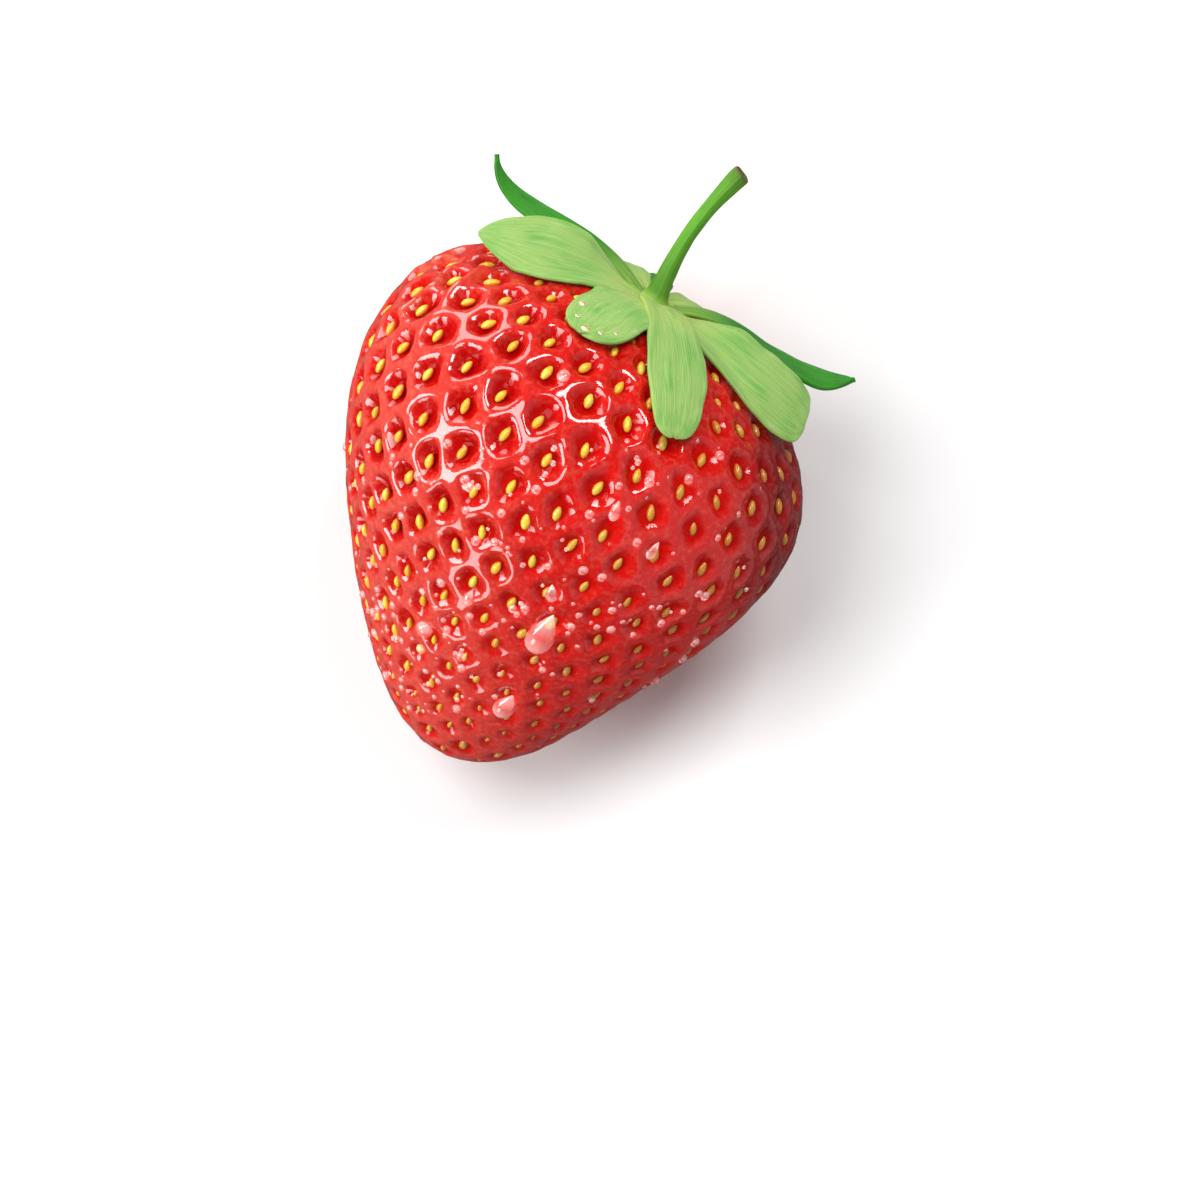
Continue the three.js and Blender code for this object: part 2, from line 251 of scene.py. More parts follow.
def select_none():
    if bpy.context.mode != "OBJECT":
        bpy.ops.object.mode_set(mode="OBJECT")
    bpy.ops.object.select_all(action="DESELECT")


def vertices_of(mesh):
    places = np.empty(len(mesh.vertices) * 3)
    mesh.vertices.foreach_get("co", places)
    return places.reshape(-1, 3)


def move_vertices(mesh, places):
    mesh.vertices.foreach_set("co", np.asarray(places, dtype=np.float32).ravel())
    mesh.update()


def keep_values(mesh, name, values):
    """Stores one number at each vertex, for a material to read."""
    mesh.attributes.new(name, "FLOAT", "POINT").data.foreach_set(
        "value", np.asarray(values, dtype=np.float32)
    )


def laid_down(points):
    """Hanging millimetres to metres in the frame."""
    turn = np.array(LAY_DOWN.to_3x3())
    return (points @ turn.T + np.array(CROWN_AT)) * MM


pips_at = skin_frame(pip_sites())
pit_middles = skin(beside(pips_at, np.full(PIP_COUNT, -PIT_ABOVE_PIP), np.zeros(PIP_COUNT)))
chance = random.Random(11)
pit_depths = np.array([PIT_DEPTH * chance.uniform(*PIT_DEPTHS) for _ in range(PIP_COUNT)])
swollen = dot(pips_at["q"], (math.cos(PLUMP_SIDE), math.sin(PLUMP_SIDE), PLUMP_LEVEL))
pit_depths *= 1 - PLUMPNESS * smoothstep(*PLUMP_REACH, swollen)

select_none()
bpy.ops.mesh.primitive_cube_add(size=2)
flesh = bpy.context.object
flesh.name = flesh.data.name = "flesh"
bpy.ops.object.mode_set(mode="EDIT")
bpy.ops.mesh.subdivide(number_cuts=1)
bpy.ops.mesh.subdivide(number_cuts=FACE_CUTS)
bpy.ops.object.mode_set(mode="OBJECT")

over = skin_frame(unit(np.tan(vertices_of(flesh.data) * math.pi / 4)))
ragged = RAGGEDNESS[0] * noise_at(over["point"], RAGGEDNESS[1], 3)
relief, ridge = pit_relief(over["point"], pit_middles, unit(pips_at["along_down"]), pit_depths, ragged)
folds = fold_relief(over["point"])
waves = SKIN_WAVES[0] * noise_at(over["point"], SKIN_WAVES[1], 1)
lumps = RIDGE_LUMPS[0] * noise_at(over["point"], RIDGE_LUMPS[1], 2) * ridge
relief += folds + waves + lumps
surface = laid_down(over["point"] + over["normal"] * relief[:, None])
surface[:, 2] = np.maximum(surface[:, 2], 0)
move_vertices(flesh.data, surface)
keep_values(flesh.data, "ridge", ridge)
keep_values(flesh.data, "fold", folds)
select_none()
flesh.select_set(True)
bpy.context.view_layer.objects.active = flesh
bpy.ops.object.shade_smooth()


def new_material(name, **values):
    made = bpy.data.materials.new(name)
    made.use_nodes = True
    shader = made.node_tree.nodes["Principled BSDF"]
    for socket, value in values.items():
        shader.inputs[socket.replace("_", " ")].default_value = value
    return made, made.node_tree, shader


def add_node(tree, kind, inputs, **settings):
    """Adds a shader node. An input is given a value, or the socket that feeds it."""
    made = tree.nodes.new("ShaderNode" + kind)
    for setting, value in settings.items():
        setattr(made, setting, value)
    for socket, value in inputs.items():
        if isinstance(value, bpy.types.NodeSocket):
            tree.links.new(value, made.inputs[socket])
        else:
            made.inputs[socket].default_value = value
    return made


def ramp(tree, factor, *stops):
    """A colour ramp through (place, (red, green, blue)) stops."""
    made = add_node(tree, "ValToRGB", {"Fac": factor})
    elements = made.color_ramp.elements
    while len(elements) < len(stops):
        elements.new(0.5)
    for element, (place, colour) in zip(elements, stops):
        element.position = place
        element.color = (*colour, 1)
    return made.outputs["Color"]


def mix(tree, factor, a, b):
    """A colour between a and b. The Mix node keeps its colours in its sockets 6 and 7."""
    made = add_node(tree, "Mix", {}, data_type="RGBA")
    for place, value in ((0, factor), (6, a), (7, b)):
        if isinstance(value, bpy.types.NodeSocket):
            tree.links.new(value, made.inputs[place])
        else:
            made.inputs[place].default_value = value if place == 0 else (*value, 1)
    return made.outputs[2]


def spread(tree, value, low, high, to_low=0, to_high=1):
    """Maps a value's range to another, without going past its ends."""
    inputs = {"Value": value, "From Min": low, "From Max": high, "To Min": to_low, "To Max": to_high}
    return add_node(tree, "MapRange", inputs).outputs["Result"]


def maths(tree, operation, a, b=0.0):
    return add_node(tree, "Math", {0: a, 1: b}, operation=operation).outputs[0]


def noise_node(tree, coords, scale, detail=2, roughness=0.5):
    inputs = {"Vector": coords, "Scale": scale, "Detail": detail, "Roughness": roughness}
    return add_node(tree, "TexNoise", inputs).outputs["Fac"]


def place_node(tree):
    return add_node(tree, "TexCoord", {}).outputs["Object"]


def kept_value(tree, name):
    """A number that was stored at each vertex of the piece."""
    return add_node(tree, "Attribute", {}, attribute_name=name).outputs["Fac"]


def rough_up(tree, shader, height, strength, distance):
    bump = add_node(tree, "Bump", {"Strength": strength, "Distance": distance, "Height": height})
    tree.links.new(bump.outputs["Normal"], shader.inputs["Normal"])


skin_red, tree, shader = new_material(
    "strawberry_skin",
    Subsurface_Weight=0.12,
    Subsurface_Radius=(1.0, 0.2, 0.12),
    Subsurface_Scale=0.0012,
    Specular_IOR_Level=0.01,
    Coat_Roughness=0.09,
    Coat_IOR=1.7,
)
place = place_node(tree)
sides = add_node(tree, "SeparateXYZ", {"Vector": place})
patches = noise_node(tree, place, 150)
grain = noise_node(tree, place, 1600, 3, 0.6)
dots = noise_node(tree, place, 7000, 2)
ridge_up = maths(tree, "ADD", kept_value(tree, "ridge"), spread(tree, grain, 0.25, 0.75, -0.12, 0.12))
# painted shade: the red grows darker down in the pits
colour = ramp(tree, ridge_up, *SKIN_REDS_AND_PIT_SHADE)
# how far round it is towards the right side, which the lamps leave in shade. From the middle rightwards the
# red is painted brighter, as painted light, and at the far right edge it is painted darker, as painted
# shade.
towards_shade = maths(tree, "ADD", sides.outputs["X"], maths(tree, "MULTIPLY", sides.outputs["Y"], 0.45))
colour = mix(tree, spread(tree, towards_shade, -0.002, 0.008, 0, 0.5), colour, PAINTED_LIGHT_RED)
colour = mix(tree, spread(tree, towards_shade, 0.0140, 0.0194, 0, 0.93), colour, PAINTED_SHADE_RED)
colour = mix(tree, spread(tree, sides.outputs["Y"], -0.004, -0.028, 0, 0.35), colour, TIP_RED)
colour = mix(tree, spread(tree, patches, 0.4, 0.7, 0, 0.35), colour, PATCH_RED)
# random pale flecks on the ridges, with a painted sheen that grows towards the lit left side
flecks_and_sheen = maths(tree, "MULTIPLY", spread(tree, noise_node(tree, place, 1900, 3), 0.48, 0.76), ridge_up)
flecks_and_sheen = maths(tree, "MULTIPLY", flecks_and_sheen, spread(tree, towards_shade, -0.004, -0.019, 0.22, 0.42))
colour = mix(tree, flecks_and_sheen, colour, FLECK_AND_SHEEN_PINK)
# painted sheen: the ridge tops turn pink towards the lit left side
lit_side = spread(tree, towards_shade, -0.002, -0.016, 0, 0.4)
painted_ridge_sheen = maths(tree, "MULTIPLY", spread(tree, ridge_up, 0.70, 0.98), lit_side)
colour = mix(tree, painted_ridge_sheen, colour, RIDGE_SHEEN_PINK)
# painted highlight along the crests of the folds
crest_highlight = spread(tree, kept_value(tree, "fold"), 0.24, 0.48)
crest_highlight = maths(tree, "MULTIPLY", crest_highlight, spread(tree, grain, 0.35, 0.65, 0.05, 0.4))
colour = mix(tree, crest_highlight, colour, FOLD_HIGHLIGHT_PINK)
tree.links.new(colour, shader.inputs["Base Color"])
tree.links.new(spread(tree, grain, 0.3, 0.7, 0.35, 0.55), shader.inputs["Roughness"])
tree.links.new(spread(tree, ridge_up, 0.25, 0.75, 0.1, 1.0), shader.inputs["Coat Weight"])
bumps = maths(tree, "ADD", maths(tree, "MULTIPLY", dots, 0.35), grain)
rough_up(tree, shader, bumps, 0.7, 0.0002)
flesh.data.materials.append(skin_red)

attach(flesh, "root")
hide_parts("berry")

# ---------------------------------------------------------------- pips
# The achenes, the small hard fruits that carry the seeds. Each is a yellow drop that stands in
# its pit with the pointed end towards the crown, held by a short thread that doesn't show.

PIP_LENGTH = 1.45
PIP_WIDTH = 0.8
PIP_HEIGHT = 0.8
PIP_TOP = 0.12  # how far the top of a pip stays below the skin
PIP_POINT = 0.5  # how much narrower the pointed end is
PIP_FLATTENING = 0.3  # of both ends
PIP_ROOM = 2.8  # distance to the next pip below which pips get smaller, towards the tip
PIP_SIZES = (0.9, 1.1)
PIP_WIDTHS = (0.9, 1.08)
PIP_TURN = 0.3  # how far a pip may be turned, in radians, and then how far tipped
PIP_LEAN = 0.12

PIP_YELLOWS = ((0.0, (0.88, 0.42, 0.012)), (0.6, (0.91, 0.60, 0.03)), (1.0, (0.82, 0.62, 0.05)))
# Painted shade: a darker orange towards the foot of each pip, down in its pit.
PIP_FOOT_SHADE = (0.74, 0.17, 0.01)
PIP_SPECKLE = (0.50, 0.20, 0.02)
# Painted shade: the pips turn duller and darker towards the shaded right side.
PIP_PAINTED_SHADE = (0.50, 0.17, 0.02)

select_none()
bpy.ops.mesh.primitive_uv_sphere_add(segments=8, ring_count=6, radius=0.5)
first_pip = bpy.context.object
bpy.ops.object.mode_set(mode="EDIT")
bpy.ops.transform.rotate(value=math.pi / 2, orient_axis="Y", center_override=(0, 0, 0))
bpy.ops.object.mode_set(mode="OBJECT")
pip_shape = vertices_of(first_pip.data)
keep_values(first_pip.data, "pip_height", pip_shape[:, 2] + 0.5)
pip_shape[:, 1] *= 1 - PIP_POINT * np.maximum(0, -pip_shape[:, 0])
pip_shape[:, 2] *= 1 - PIP_FLATTENING * np.abs(pip_shape[:, 0])
move_vertices(first_pip.data, pip_shape * (PIP_LENGTH, PIP_WIDTH, PIP_HEIGHT))

apart = np.linalg.norm(pips_at["point"][:, None] - pips_at["point"][None], axis=2)
np.fill_diagonal(apart, np.inf)
room = np.minimum(1, apart.min(axis=1) / PIP_ROOM)
copies = []
for i in range(PIP_COUNT):
    copy = bpy.data.objects.new("pip", first_pip.data.copy())
    bpy.context.collection.objects.link(copy)
    size = chance.uniform(*PIP_SIZES) * room[i]
    turn = Matrix.Rotation(chance.uniform(-PIP_TURN, PIP_TURN), 3, "Z")
    stretch = Matrix.Diagonal((size, size * chance.uniform(*PIP_WIDTHS), 1))
    down = Vector(pips_at["along_down"][i]).normalized()
    up = Vector(pips_at["normal"][i])
    axes = Matrix((down, up.cross(down).normalized(), up)).transposed()
    lean = Matrix.Rotation(chance.uniform(-PIP_LEAN, PIP_LEAN), 3, "Y")
    shaped = vertices_of(copy.data) @ np.array(axes @ lean @ turn @ stretch).T
    middle = pips_at["point"][i] - pips_at["normal"][i] * (PIP_TOP + PIP_HEIGHT / 2)
    placed = laid_down(shaped + middle)
    placed[:, 2] = np.maximum(placed[:, 2], 0)
    move_vertices(copy.data, placed)
    keep_values(copy.data, "pip_tint", np.full(len(placed), chance.random()))
    copies.append(copy)


def joined(pieces, name):
    select_none()
    for piece in pieces:
        piece.select_set(True)
    bpy.context.view_layer.objects.active = pieces[0]
    bpy.ops.object.join()
    whole = bpy.context.object
    whole.name = whole.data.name = name
    bpy.ops.object.shade_smooth()
    return whole


select_none()
bpy.data.objects.remove(first_pip)
pips = joined(copies, "pips")

pip_yellow, tree, shader = new_material(
    "pip_yellow", Roughness=0.35, Coat_Weight=0.6, Coat_Roughness=0.1, Subsurface_Weight=0.1,
    Subsurface_Scale=0.0005,
)
place = place_node(tree)
warm = ramp(tree, kept_value(tree, "pip_tint"), *PIP_YELLOWS)
# painted shade towards the foot of the pip
shade = mix(tree, spread(tree, kept_value(tree, "pip_height"), 0.45, 0.8), PIP_FOOT_SHADE, warm)
speckle = noise_node(tree, place, 3500, 3)
shade = mix(tree, spread(tree, speckle, 0.5, 0.72, 0, 0.5), shade, PIP_SPECKLE)
sides = add_node(tree, "SeparateXYZ", {"Vector": place})
# painted shade on the pips towards the shaded right side
towards_shade = maths(tree, "SUBTRACT", sides.outputs["X"], maths(tree, "MULTIPLY", sides.outputs["Y"], 0.35))
shade = mix(tree, spread(tree, towards_shade, 0.001, 0.011, 0, 0.8), shade, PIP_PAINTED_SHADE)
tree.links.new(shade, shader.inputs["Base Color"])
rough_up(tree, shader, speckle, 0.4, 0.00008)
pips.data.materials.append(pip_yellow)

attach(pips, "root")

# ---------------------------------------------------------------- stalk
# The green stem that the fruit hung from, cut off short. It flares into the disc that the sepals
# spring from, bends to one side, and is ribbed lengthwise, with a browned cut face.

DISC_RADIUS = 2.2
STALK_HEIGHT = 13.6
STALK_RADIUS = 0.68
STALK_BEND = 2.5
STALK_BEND_FROM = 2  # the height above which it bends
STALK_SHAFT = (1, 3)  # the heights over which the disc gives way to the ribbed stem
STALK_RIBS = (0.045, 5, 0.12)  # their height as a share of the radius, their number, and their twist
STALK_FINE_RIBS = (0.02, 13)
STALK_LUMPS = 0.05
STALK_FOOT = -0.9
STALK_PROFILE = (
    (DISC_RADIUS * 0.96, STALK_FOOT),
    (DISC_RADIUS, STALK_FOOT + 0.2),
    (DISC_RADIUS, STALK_FOOT + 0.4),
    (DISC_RADIUS * 0.85, STALK_FOOT + 0.6),
    (STALK_RADIUS * 1.75, STALK_FOOT + 0.95),
    (STALK_RADIUS * 1.4, STALK_FOOT + 1.9),
    (STALK_RADIUS * 1.12, STALK_FOOT + 3.6),
    (STALK_RADIUS * 0.98, STALK_HEIGHT * 0.4),
    (STALK_RADIUS * 0.9, STALK_HEIGHT * 0.55),
    (STALK_RADIUS * 0.92, STALK_HEIGHT * 0.7),
    (STALK_RADIUS * 1.0, STALK_HEIGHT * 0.83),
    (STALK_RADIUS * 1.12, STALK_HEIGHT * 0.94),
    (STALK_RADIUS * 1.16, STALK_HEIGHT * 0.985),
    (STALK_RADIUS * 1.06, STALK_HEIGHT),
    (STALK_RADIUS * 0.8, STALK_HEIGHT - 0.1),
    (STALK_RADIUS * 0.4, STALK_HEIGHT - 0.25),
)
STALK_GREENS = (
    (0.0, (0.34, 0.46, 0.085)),
    (0.03, (0.20, 0.38, 0.05)),
    (0.07, (0.075, 0.24, 0.015)),
    (0.6, (0.09, 0.33, 0.018)),
    (0.9, (0.08, 0.27, 0.015)),
    (0.99, (0.05, 0.15, 0.012)),
)
STALK_STREAK = (0.20, 0.42, 0.04)
STALK_MOTTLE = (0.05, 0.22, 0.02)
CUT_BROWN = (0.12, 0.11, 0.035)

select_none()
radius, height = STALK_PROFILE[0]
bpy.ops.mesh.primitive_circle_add(
    vertices=24, radius=radius, fill_type="NGON", location=(0, 0, 0), enter_editmode=True
)
bpy.ops.transform.translate(value=(0, 0, height))
for next_radius, next_height in STALK_PROFILE[1:]:
    bpy.ops.mesh.extrude_region_move(
        TRANSFORM_OT_translate={"value": (0, 0, next_height - height)}
    )
    scale = next_radius / radius
    bpy.ops.transform.resize(value=(scale, scale, 1), center_override=(0, 0, next_height))
    radius, height = next_radius, next_height
bpy.ops.mesh.select_all(action="SELECT")
bpy.ops.mesh.normals_make_consistent(inside=False)
bpy.ops.object.mode_set(mode="OBJECT")
stalk = bpy.context.object
stalk.name = stalk.data.name = "stalk_stem"
stalk.modifiers.new("rounded", "SUBSURF").levels = 2
stalk.modifiers["rounded"].render_levels = 2
bpy.ops.object.modifier_apply(modifier="rounded")
bpy.ops.object.shade_smooth()

straight = vertices_of(stalk.data)
around = np.arctan2(straight[:, 1], straight[:, 0])
shaft = smoothstep(*STALK_SHAFT, straight[:, 2])
rib_height, rib_count, twist = STALK_RIBS
ribs = rib_height * np.cos(rib_count * around + twist * straight[:, 2])
fine_ribs = STALK_FINE_RIBS[0] * np.cos(STALK_FINE_RIBS[1] * around)
lumps = 1 + STALK_LUMPS * noise_at(straight, 1.6, 5) * (0.3 + shaft)
straight[:, :2] *= ((1 + shaft * (ribs + fine_ribs)) * lumps)[:, None]
keep_values(stalk.data, "stem_height", straight[:, 2] / STALK_HEIGHT)
keep_values(stalk.data, "stem_out", np.hypot(straight[:, 0], straight[:, 1]))
keep_values(stalk.data, "stem_turn", around / math.pi)
t = np.maximum(0, straight[:, 2] - STALK_BEND_FROM) / (STALK_HEIGHT - STALK_BEND_FROM)
lean = CROWN_TILT + 2 * STALK_BEND * t / (STALK_HEIGHT - STALK_BEND_FROM)
bent = straight + np.stack([STALK_BEND * t * t, 0 * t, -lean * straight[:, 0]], axis=1)
move_vertices(stalk.data, laid_down(bent))


def vein_group():
    """Lengthwise veins and soft mottling from coordinates that run along (X) and across (Y)."""
    group = bpy.data.node_groups.new("leaf_veins", "ShaderNodeTree")
    group.interface.new_socket("Along Across", in_out="INPUT", socket_type="NodeSocketVector")
    for name in ("Veins", "Mottle Scale"):
        group.interface.new_socket(name, in_out="INPUT", socket_type="NodeSocketFloat")
    for name in ("Vein", "Streak", "Mottle"):
        group.interface.new_socket(name, in_out="OUTPUT", socket_type="NodeSocketFloat")
    given = group.nodes.new("NodeGroupInput").outputs
    made = group.nodes.new("NodeGroupOutput").inputs
    bend = noise_node(group, given["Along Across"], 5)
    parts = add_node(group, "SeparateXYZ", {"Vector": given["Along Across"]}).outputs
    across = maths(group, "ADD", parts["Y"], maths(group, "MULTIPLY", bend, 0.05))
    half_waves = maths(group, "MULTIPLY", maths(group, "MULTIPLY", across, given["Veins"]), math.pi)
    vein = maths(group, "ABSOLUTE", maths(group, "SINE", half_waves))
    vein = spread(group, vein, 0.0, 0.35, 1, 0)
    drawn_out = maths(group, "MULTIPLY", parts["X"], 0.12)
    stretched = add_node(group, "CombineXYZ", {"X": drawn_out, "Y": across})
    streak = noise_node(group, stretched.outputs["Vector"], 45, 2)
    mottle = noise_node(group, given["Along Across"], given["Mottle Scale"], 3)
    group.links.new(vein, made["Vein"])
    group.links.new(streak, made["Streak"])
    group.links.new(mottle, made["Mottle"])
    return group


def veins(tree, coords, count, mottle_scale):
    made = add_node(tree, "Group", {}, node_tree=leaf_veins)
    tree.links.new(coords, made.inputs["Along Across"])
    made.inputs["Veins"].default_value = count
    made.inputs["Mottle Scale"].default_value = mottle_scale
    return made.outputs


leaf_veins = vein_group()
stem_green, tree, shader = new_material(
    "stem_green", Subsurface_Weight=0.12, Subsurface_Scale=0.0006, Subsurface_Radius=(0.5, 1.0, 0.2),
    Specular_IOR_Level=0.3,
)
height = kept_value(tree, "stem_height")
run = add_node(tree, "CombineXYZ", {"X": height, "Y": kept_value(tree, "stem_turn")})
lines = veins(tree, run.outputs["Vector"], 9, 9)
green = ramp(tree, height, *STALK_GREENS)
green = mix(tree, spread(tree, lines["Streak"], 0.4, 0.7, 0, 0.45), green, STALK_STREAK)
green = mix(tree, spread(tree, lines["Mottle"], 0.55, 0.75, 0, 0.35), green, STALK_MOTTLE)
inside = spread(tree, kept_value(tree, "stem_out"), 0.82, 0.72)
cut = maths(tree, "MULTIPLY", spread(tree, height, 0.975, 0.99), inside)
green = mix(tree, cut, green, CUT_BROWN)
tree.links.new(green, shader.inputs["Base Color"])
tree.links.new(spread(tree, lines["Mottle"], 0.3, 0.7, 0.42, 0.6), shader.inputs["Roughness"])
rough_up(tree, shader, lines["Streak"], 0.5, 0.0001)
stalk.data.materials.append(stem_green)

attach(stalk, "root")
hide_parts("stalk")

# ---------------------------------------------------------------- sepals
# Five soft green leaves that lie back on the shoulders of the fruit, grown out of the disc under
# the stalk. They are thin and matt, with fine veins along them and slightly wavy edges.

BLADE_THICKNESS = 0.4
BLADE_LIFT = 0.62  # the middle of a blade's thickness above the smooth skin
BLADE_ROOT = 2.75  # where a blade leaves the disc, measured out along the skin
BLADE_TUCK = 1.7  # how far its root runs back, over the disc to the foot of the stalk
BLADE_SAG = 0.12  # how far any part of it may hang below its lift
BLADE_TIP = 0.14  # half its width at the very tip
BLADE_EDGES = ((0.03, 9), (0.015, 23))  # how its width varies along it: by what share, and how fast
BLADE_RIPPLES = (17, 31)  # how fast its wavy edges go up and down
MIDRIB = (0.1, 0.22)  # depth and half the width of the groove down its middle
VEIN_RIBS = (0.045, 6.5)  # height and pitch of the fine ribs on both sides of it
BLADE_STEPS = 60
BLADE_COLUMNS = 20
# In millimetres: half its width at its widest and at its root, how far its tip rises, how much it is
# lifted all over, how wavy its edges are, and how far one edge runs past the other at its tip. In
# degrees: its place round the stalk, its tilt to one side, and how far it swings aside. As shares:
# where it is widest, and how hollow it is. A low taper is a blunt tip, and a high curl rises late.
# A path gives the reach and the lift of the four points of a curve that it follows instead.
SEPAL = dict(
    half=3, widest=0.5, root=1.15, taper=0.5, cup=0.1, bank=0, rise=1, curl=2, sweep=0, wave=0.1,
    lift=0, slant=0, path=None,
)
SEPALS = (
    dict(SEPAL, name="left", azimuth=204, length=13, rise=2.2, bank=-42, half=3.6, curl=1.6, sweep=-9,
         taper=0.7, root=1.6),
    dict(SEPAL, name="front", azimuth=292, length=14.6, rise=0.3, taper=0.28, root=2.2, half=2.8,
         lift=0.35),
    dict(SEPAL, name="right", azimuth=338.5, length=13, rise=2.2, bank=36, curl=1.4, sweep=13, taper=0.16,
         root=1.8, half=3.1, widest=0.6, slant=-1.7),
    dict(SEPAL, name="back_right", azimuth=61, length=13.8, rise=0.5, half=2.6, taper=0.8),
    dict(SEPAL, name="back_left", azimuth=116, length=13.5, rise=0.4, half=2.4, taper=0.8, root=0.7,
         lift=-0.2),
)


def blade_half(t, blade):
    """Half of a blade's width, t being 0 at its root and 1 at its tip."""
    rise = np.sin(np.pi / 2 * np.clip(t / blade["widest"], 0, 1))
    fall = np.maximum(0, (t - blade["widest"]) / (1 - blade["widest"]))
    swelling = blade["root"] + (blade["half"] - blade["root"]) * rise
    return np.maximum(BLADE_TIP, swelling * np.maximum(0, 1 - fall**2) ** blade["taper"])


def at_reach(distance, azimuth):
    """The directions whose skin lies so far out from the stalk, measured along the skin."""
    angles = np.arange(0, 1.9, 0.004)
    out = np.empty((len(distance), 3))
    for i, (far, way) in enumerate(zip(distance, azimuth)):
        path = skin(direction(np.cos(angles), np.full(len(angles), way)))
        walked = np.concatenate([[0], np.cumsum(np.linalg.norm(np.diff(path, axis=0), axis=1))])
        angle = np.interp(far, walked, angles)
        out[i] = direction(np.array([math.cos(angle)]), np.array([way]))[0]
    return out


def clear_of_skin(points, near, clearance):
    """Moves points out along the skin's normal until they clear it."""
    at = skin_frame(near)
    for _ in range(6):
        off = points - at["point"]
        at = skin_frame(beside(at, dot(off, unit(at["along_down"])), dot(off, unit(at["along_across"]))))
    height = dot(points - at["point"], at["normal"])
    return points + at["normal"] * np.maximum(0, clearance - height)[:, None]


def rotated(vectors, axes, angle):
    cos, sin = np.cos(angle)[:, None], np.sin(angle)[:, None]
    return vectors * cos + np.cross(axes, vectors) * sin + axes * dot(axes, vectors)[:, None] * (1 - cos)


def bezier(t, a, b, c, d):
    s = 1 - t
    return s**3 * a + 3 * s * s * t * b + 3 * s * t * t * c + t**3 * d


def blade_points(t, v, blade):
    """Points at t along and v across a blade, which lies out over the skin and lifts off it."""
    rows, back = np.unique(t, return_inverse=True)
    azimuth = np.radians(blade["azimuth"] + blade["sweep"] * rows * rows)
    lowest = BLADE_LIFT + blade["lift"]

    def midline(s):
        if blade["path"]:
            reach, lift = (bezier(s, *ends) for ends in zip(*blade["path"]))
        else:
            reach = BLADE_ROOT + blade["length"] * s
            lift = lowest + blade["rise"] * np.maximum(0, s) ** blade["curl"]
        near = at_reach(reach, azimuth)
        at = skin_frame(near)
        return at["point"] + at["normal"] * lift[:, None], near

    middle, near = midline(rows)
    along = unit(midline(rows + 0.01)[0] - midline(rows - 0.01)[0])
    side = np.cross((0, 0, 1), np.stack([np.cos(azimuth), np.sin(azimuth), 0 * azimuth], axis=1))
    side = unit(side - along * dot(along, side)[:, None])
    side = rotated(side, along, np.radians(blade["bank"] * np.minimum(1, 3 * np.maximum(0, rows))))
    face = np.cross(along, side)
    half = blade_half(rows, blade)
    (slow, slow_rate), (quick, quick_rate) = BLADE_EDGES
    uneven = 1 + slow * np.sin(slow_rate * rows + blade["azimuth"]) + quick * np.sin(quick_rate * rows)
    half = half * uneven
    middle, along, side, face, near, half = (a[back] for a in (middle, along, side, face, near, half))
    lifted = -blade["cup"] * half * v * v
    ripple = np.sin(BLADE_RIPPLES[0] * t + 2.6 * np.sign(v) + blade["azimuth"])
    ripple += 0.6 * np.sin(BLADE_RIPPLES[1] * t + v)
    lifted += blade["wave"] * ripple * np.abs(v) ** 3 * smoothstep(0.1, 0.5, t)
    lifted -= MIDRIB[0] * np.exp(-((v * half / MIDRIB[1]) ** 2))
    lifted += VEIN_RIBS[0] * np.cos(v * half * VEIN_RIBS[1]) * (1 - np.abs(v)) * smoothstep(0, 0.2, t)
    slanted = blade["slant"] * v * half / blade["half"] * np.maximum(0, t) ** 2
    points = middle + side * (v * half)[:, None] + face * lifted[:, None] + along * slanted[:, None]
    return clear_of_skin(points, near, lowest - BLADE_SAG)


def make_blade(name, blade):
    """A grid laid out as a blade, and given its thickness."""
    select_none()
    bpy.ops.mesh.primitive_grid_add(
        x_subdivisions=BLADE_STEPS, y_subdivisions=BLADE_COLUMNS, size=2, calc_uvs=True
    )
    made = bpy.context.object
    made.name = made.data.name = name
    flat = vertices_of(made.data)
    tuck = BLADE_TUCK / blade["length"]
    rows_along = np.sin((flat[:, 0] + 1) * math.pi / 4)  # closer together towards the tip
    t = np.round(rows_along * (1 + tuck) - tuck, 6)
    v = flat[:, 1]
    move_vertices(made.data, laid_down(blade_points(t, v, blade)))
    keep_values(made.data, "blade_out", np.clip(t, 0, 1))
    solid = made.modifiers.new("thickness", "SOLIDIFY")
    solid.thickness = BLADE_THICKNESS * MM
    solid.offset = 0
    soft = made.modifiers.new("soft", "SUBSURF")
    soft.levels = soft.render_levels = 1
    for modifier in ("thickness", "soft"):
        bpy.ops.object.modifier_apply(modifier=modifier)
    bpy.ops.object.shade_smooth()
    return made


